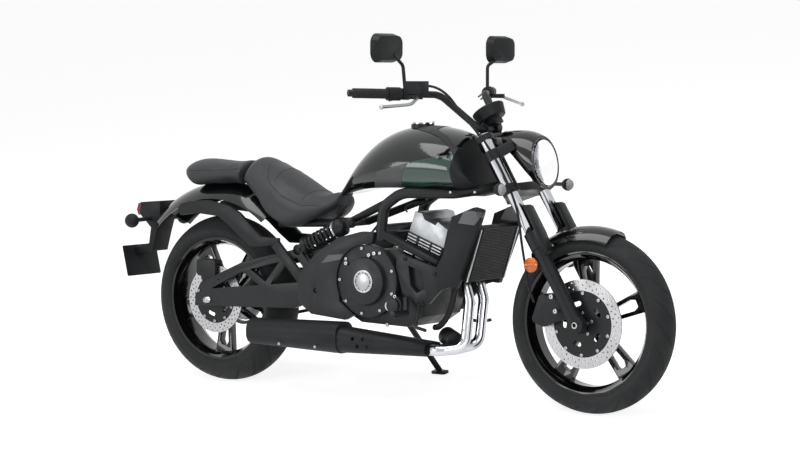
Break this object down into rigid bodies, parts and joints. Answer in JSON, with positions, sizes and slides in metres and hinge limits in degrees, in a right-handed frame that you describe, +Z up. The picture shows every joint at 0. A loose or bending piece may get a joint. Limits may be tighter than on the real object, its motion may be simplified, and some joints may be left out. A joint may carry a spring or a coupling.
{
  "type": "cruiser motorcycle",
  "caption": "Middleweight cruiser motorcycle with an open parallel twin engine, low seat, side exhaust and cast wheels, parked on its side stand.",
  "frame": {"origin": "on the ground, under the middle of the bounding box of the parked machine", "axes": "+X forward, +Y to the rider's left, the side it leans to, +Z up"},
  "size_m": [2.329, 0.901, 1.3282],
  "materials": {
    "tyre": "matte black rubber",
    "gloss_black": "gloss black paint",
    "disc_steel": "ground stainless steel",
    "chrome": "polished chrome",
    "satin_black": "satin black paint",
    "bare_metal": "bare machined metal",
    "clear_lens": "clear polished lens",
    "amber": "amber reflector",
    "grip_rubber": "ribbed rubber",
    "black_plastic": "moulded black plastic",
    "frame_black": "satin black powder coat",
    "engine_black": "heat-proof satin black over cast aluminium",
    "cast_silver": "satin silver casting",
    "exhaust_black": "heat-proof matte black",
    "radiator_black": "matte black core",
    "dark_green": "gloss dark green metallic",
    "seat_vinyl": "black seat vinyl",
    "red_lens": "red lens",
    "chain_steel": "oiled steel"
  },
  "bodies": {
    "frame": {"frame_tubes": "frame_black", "frame_plates": "frame_black", "pivot_plates": "frame_black", "shock_body": "satin_black", "shock_spring": "satin_black", "swingarm": "frame_black", "rear_axle": "bare_metal", "crankcase": "engine_black", "cylinders": "engine_black", "head_cover": "cast_silver", "clutch_cover": "engine_black", "left_covers": "engine_black", "header_pipes": "chrome", "heat_shield": "exhaust_black", "muffler": "exhaust_black", "radiator": "radiator_black", "radiator_shrouds": "black_plastic", "fuel_tank": "dark_green", "filler_ring": "satin_black", "rider_seat": "seat_vinyl", "passenger_seat": "seat_vinyl", "rear_fender": "dark_green", "fender_struts": "satin_black", "tail_housing": "black_plastic", "tail_light": "red_lens", "rear_signals": "clear_lens", "licence_plate": "black_plastic", "foot_pegs": "satin_black", "foot_levers": "satin_black", "drive_chain": "chain_steel", "rear_caliper": "satin_black"},
    "steering": {"fork_tubes": "chrome", "fork_sliders": "satin_black", "fork_clamps": "satin_black", "front_axle": "bare_metal", "front_fender": "gloss_black", "headlight_shell": "gloss_black", "headlight_lens": "clear_lens", "headlight_stay": "satin_black", "front_signals": "clear_lens", "fork_reflectors": "amber", "handlebar": "satin_black", "grips": "grip_rubber", "bar_controls": "black_plastic", "hand_levers": "bare_metal", "mirrors": "black_plastic", "bar_risers": "satin_black", "instrument_pod": "black_plastic", "front_caliper": "satin_black"},
    "front_wheel": {"front_tyre": "tyre", "front_wheel": "gloss_black", "front_brake_disc": "disc_steel"},
    "rear_wheel": {"rear_tyre": "tyre", "rear_wheel": "gloss_black", "rear_brake_disc": "disc_steel", "rear_sprocket": "bare_metal"},
    "side_stand": {"side_stand": "satin_black"},
    "fuel_cap": {"filler_cap": "chrome"}
  },
  "joints": [
    {"name": "steering", "type": "hinge", "parent": "frame", "child": "steering", "pos_m": [0.44601, -0.03797, 0.87019], "axis": [-0.515, 0.1488, 0.8441], "range_deg": [-35, 35]},
    {"name": "front_wheel_spin", "type": "hinge", "parent": "steering", "child": "front_wheel", "pos_m": [0.8566, -0.13775, 0.30431], "axis": [0, 0.9848, -0.1736], "continuous": true},
    {"name": "rear_wheel_spin", "type": "hinge", "parent": "frame", "child": "rear_wheel", "pos_m": [-0.7184, -0.13769, 0.30464], "axis": [0, 0.9848, -0.1736], "continuous": true},
    {"name": "side_stand_fold", "type": "hinge", "parent": "frame", "child": "side_stand", "pos_m": [-0.0534, 0.02915, 0.23731], "axis": [0.0169, 0.9584, 0.2848], "range_deg": [0, 105.7]},
    {"name": "filler_cap_hinge", "type": "hinge", "parent": "frame", "child": "fuel_cap", "pos_m": [0.2006, -0.02262, 0.95723], "axis": [0, 0.9848, -0.1736], "range_deg": [0, 100]}
  ]
}
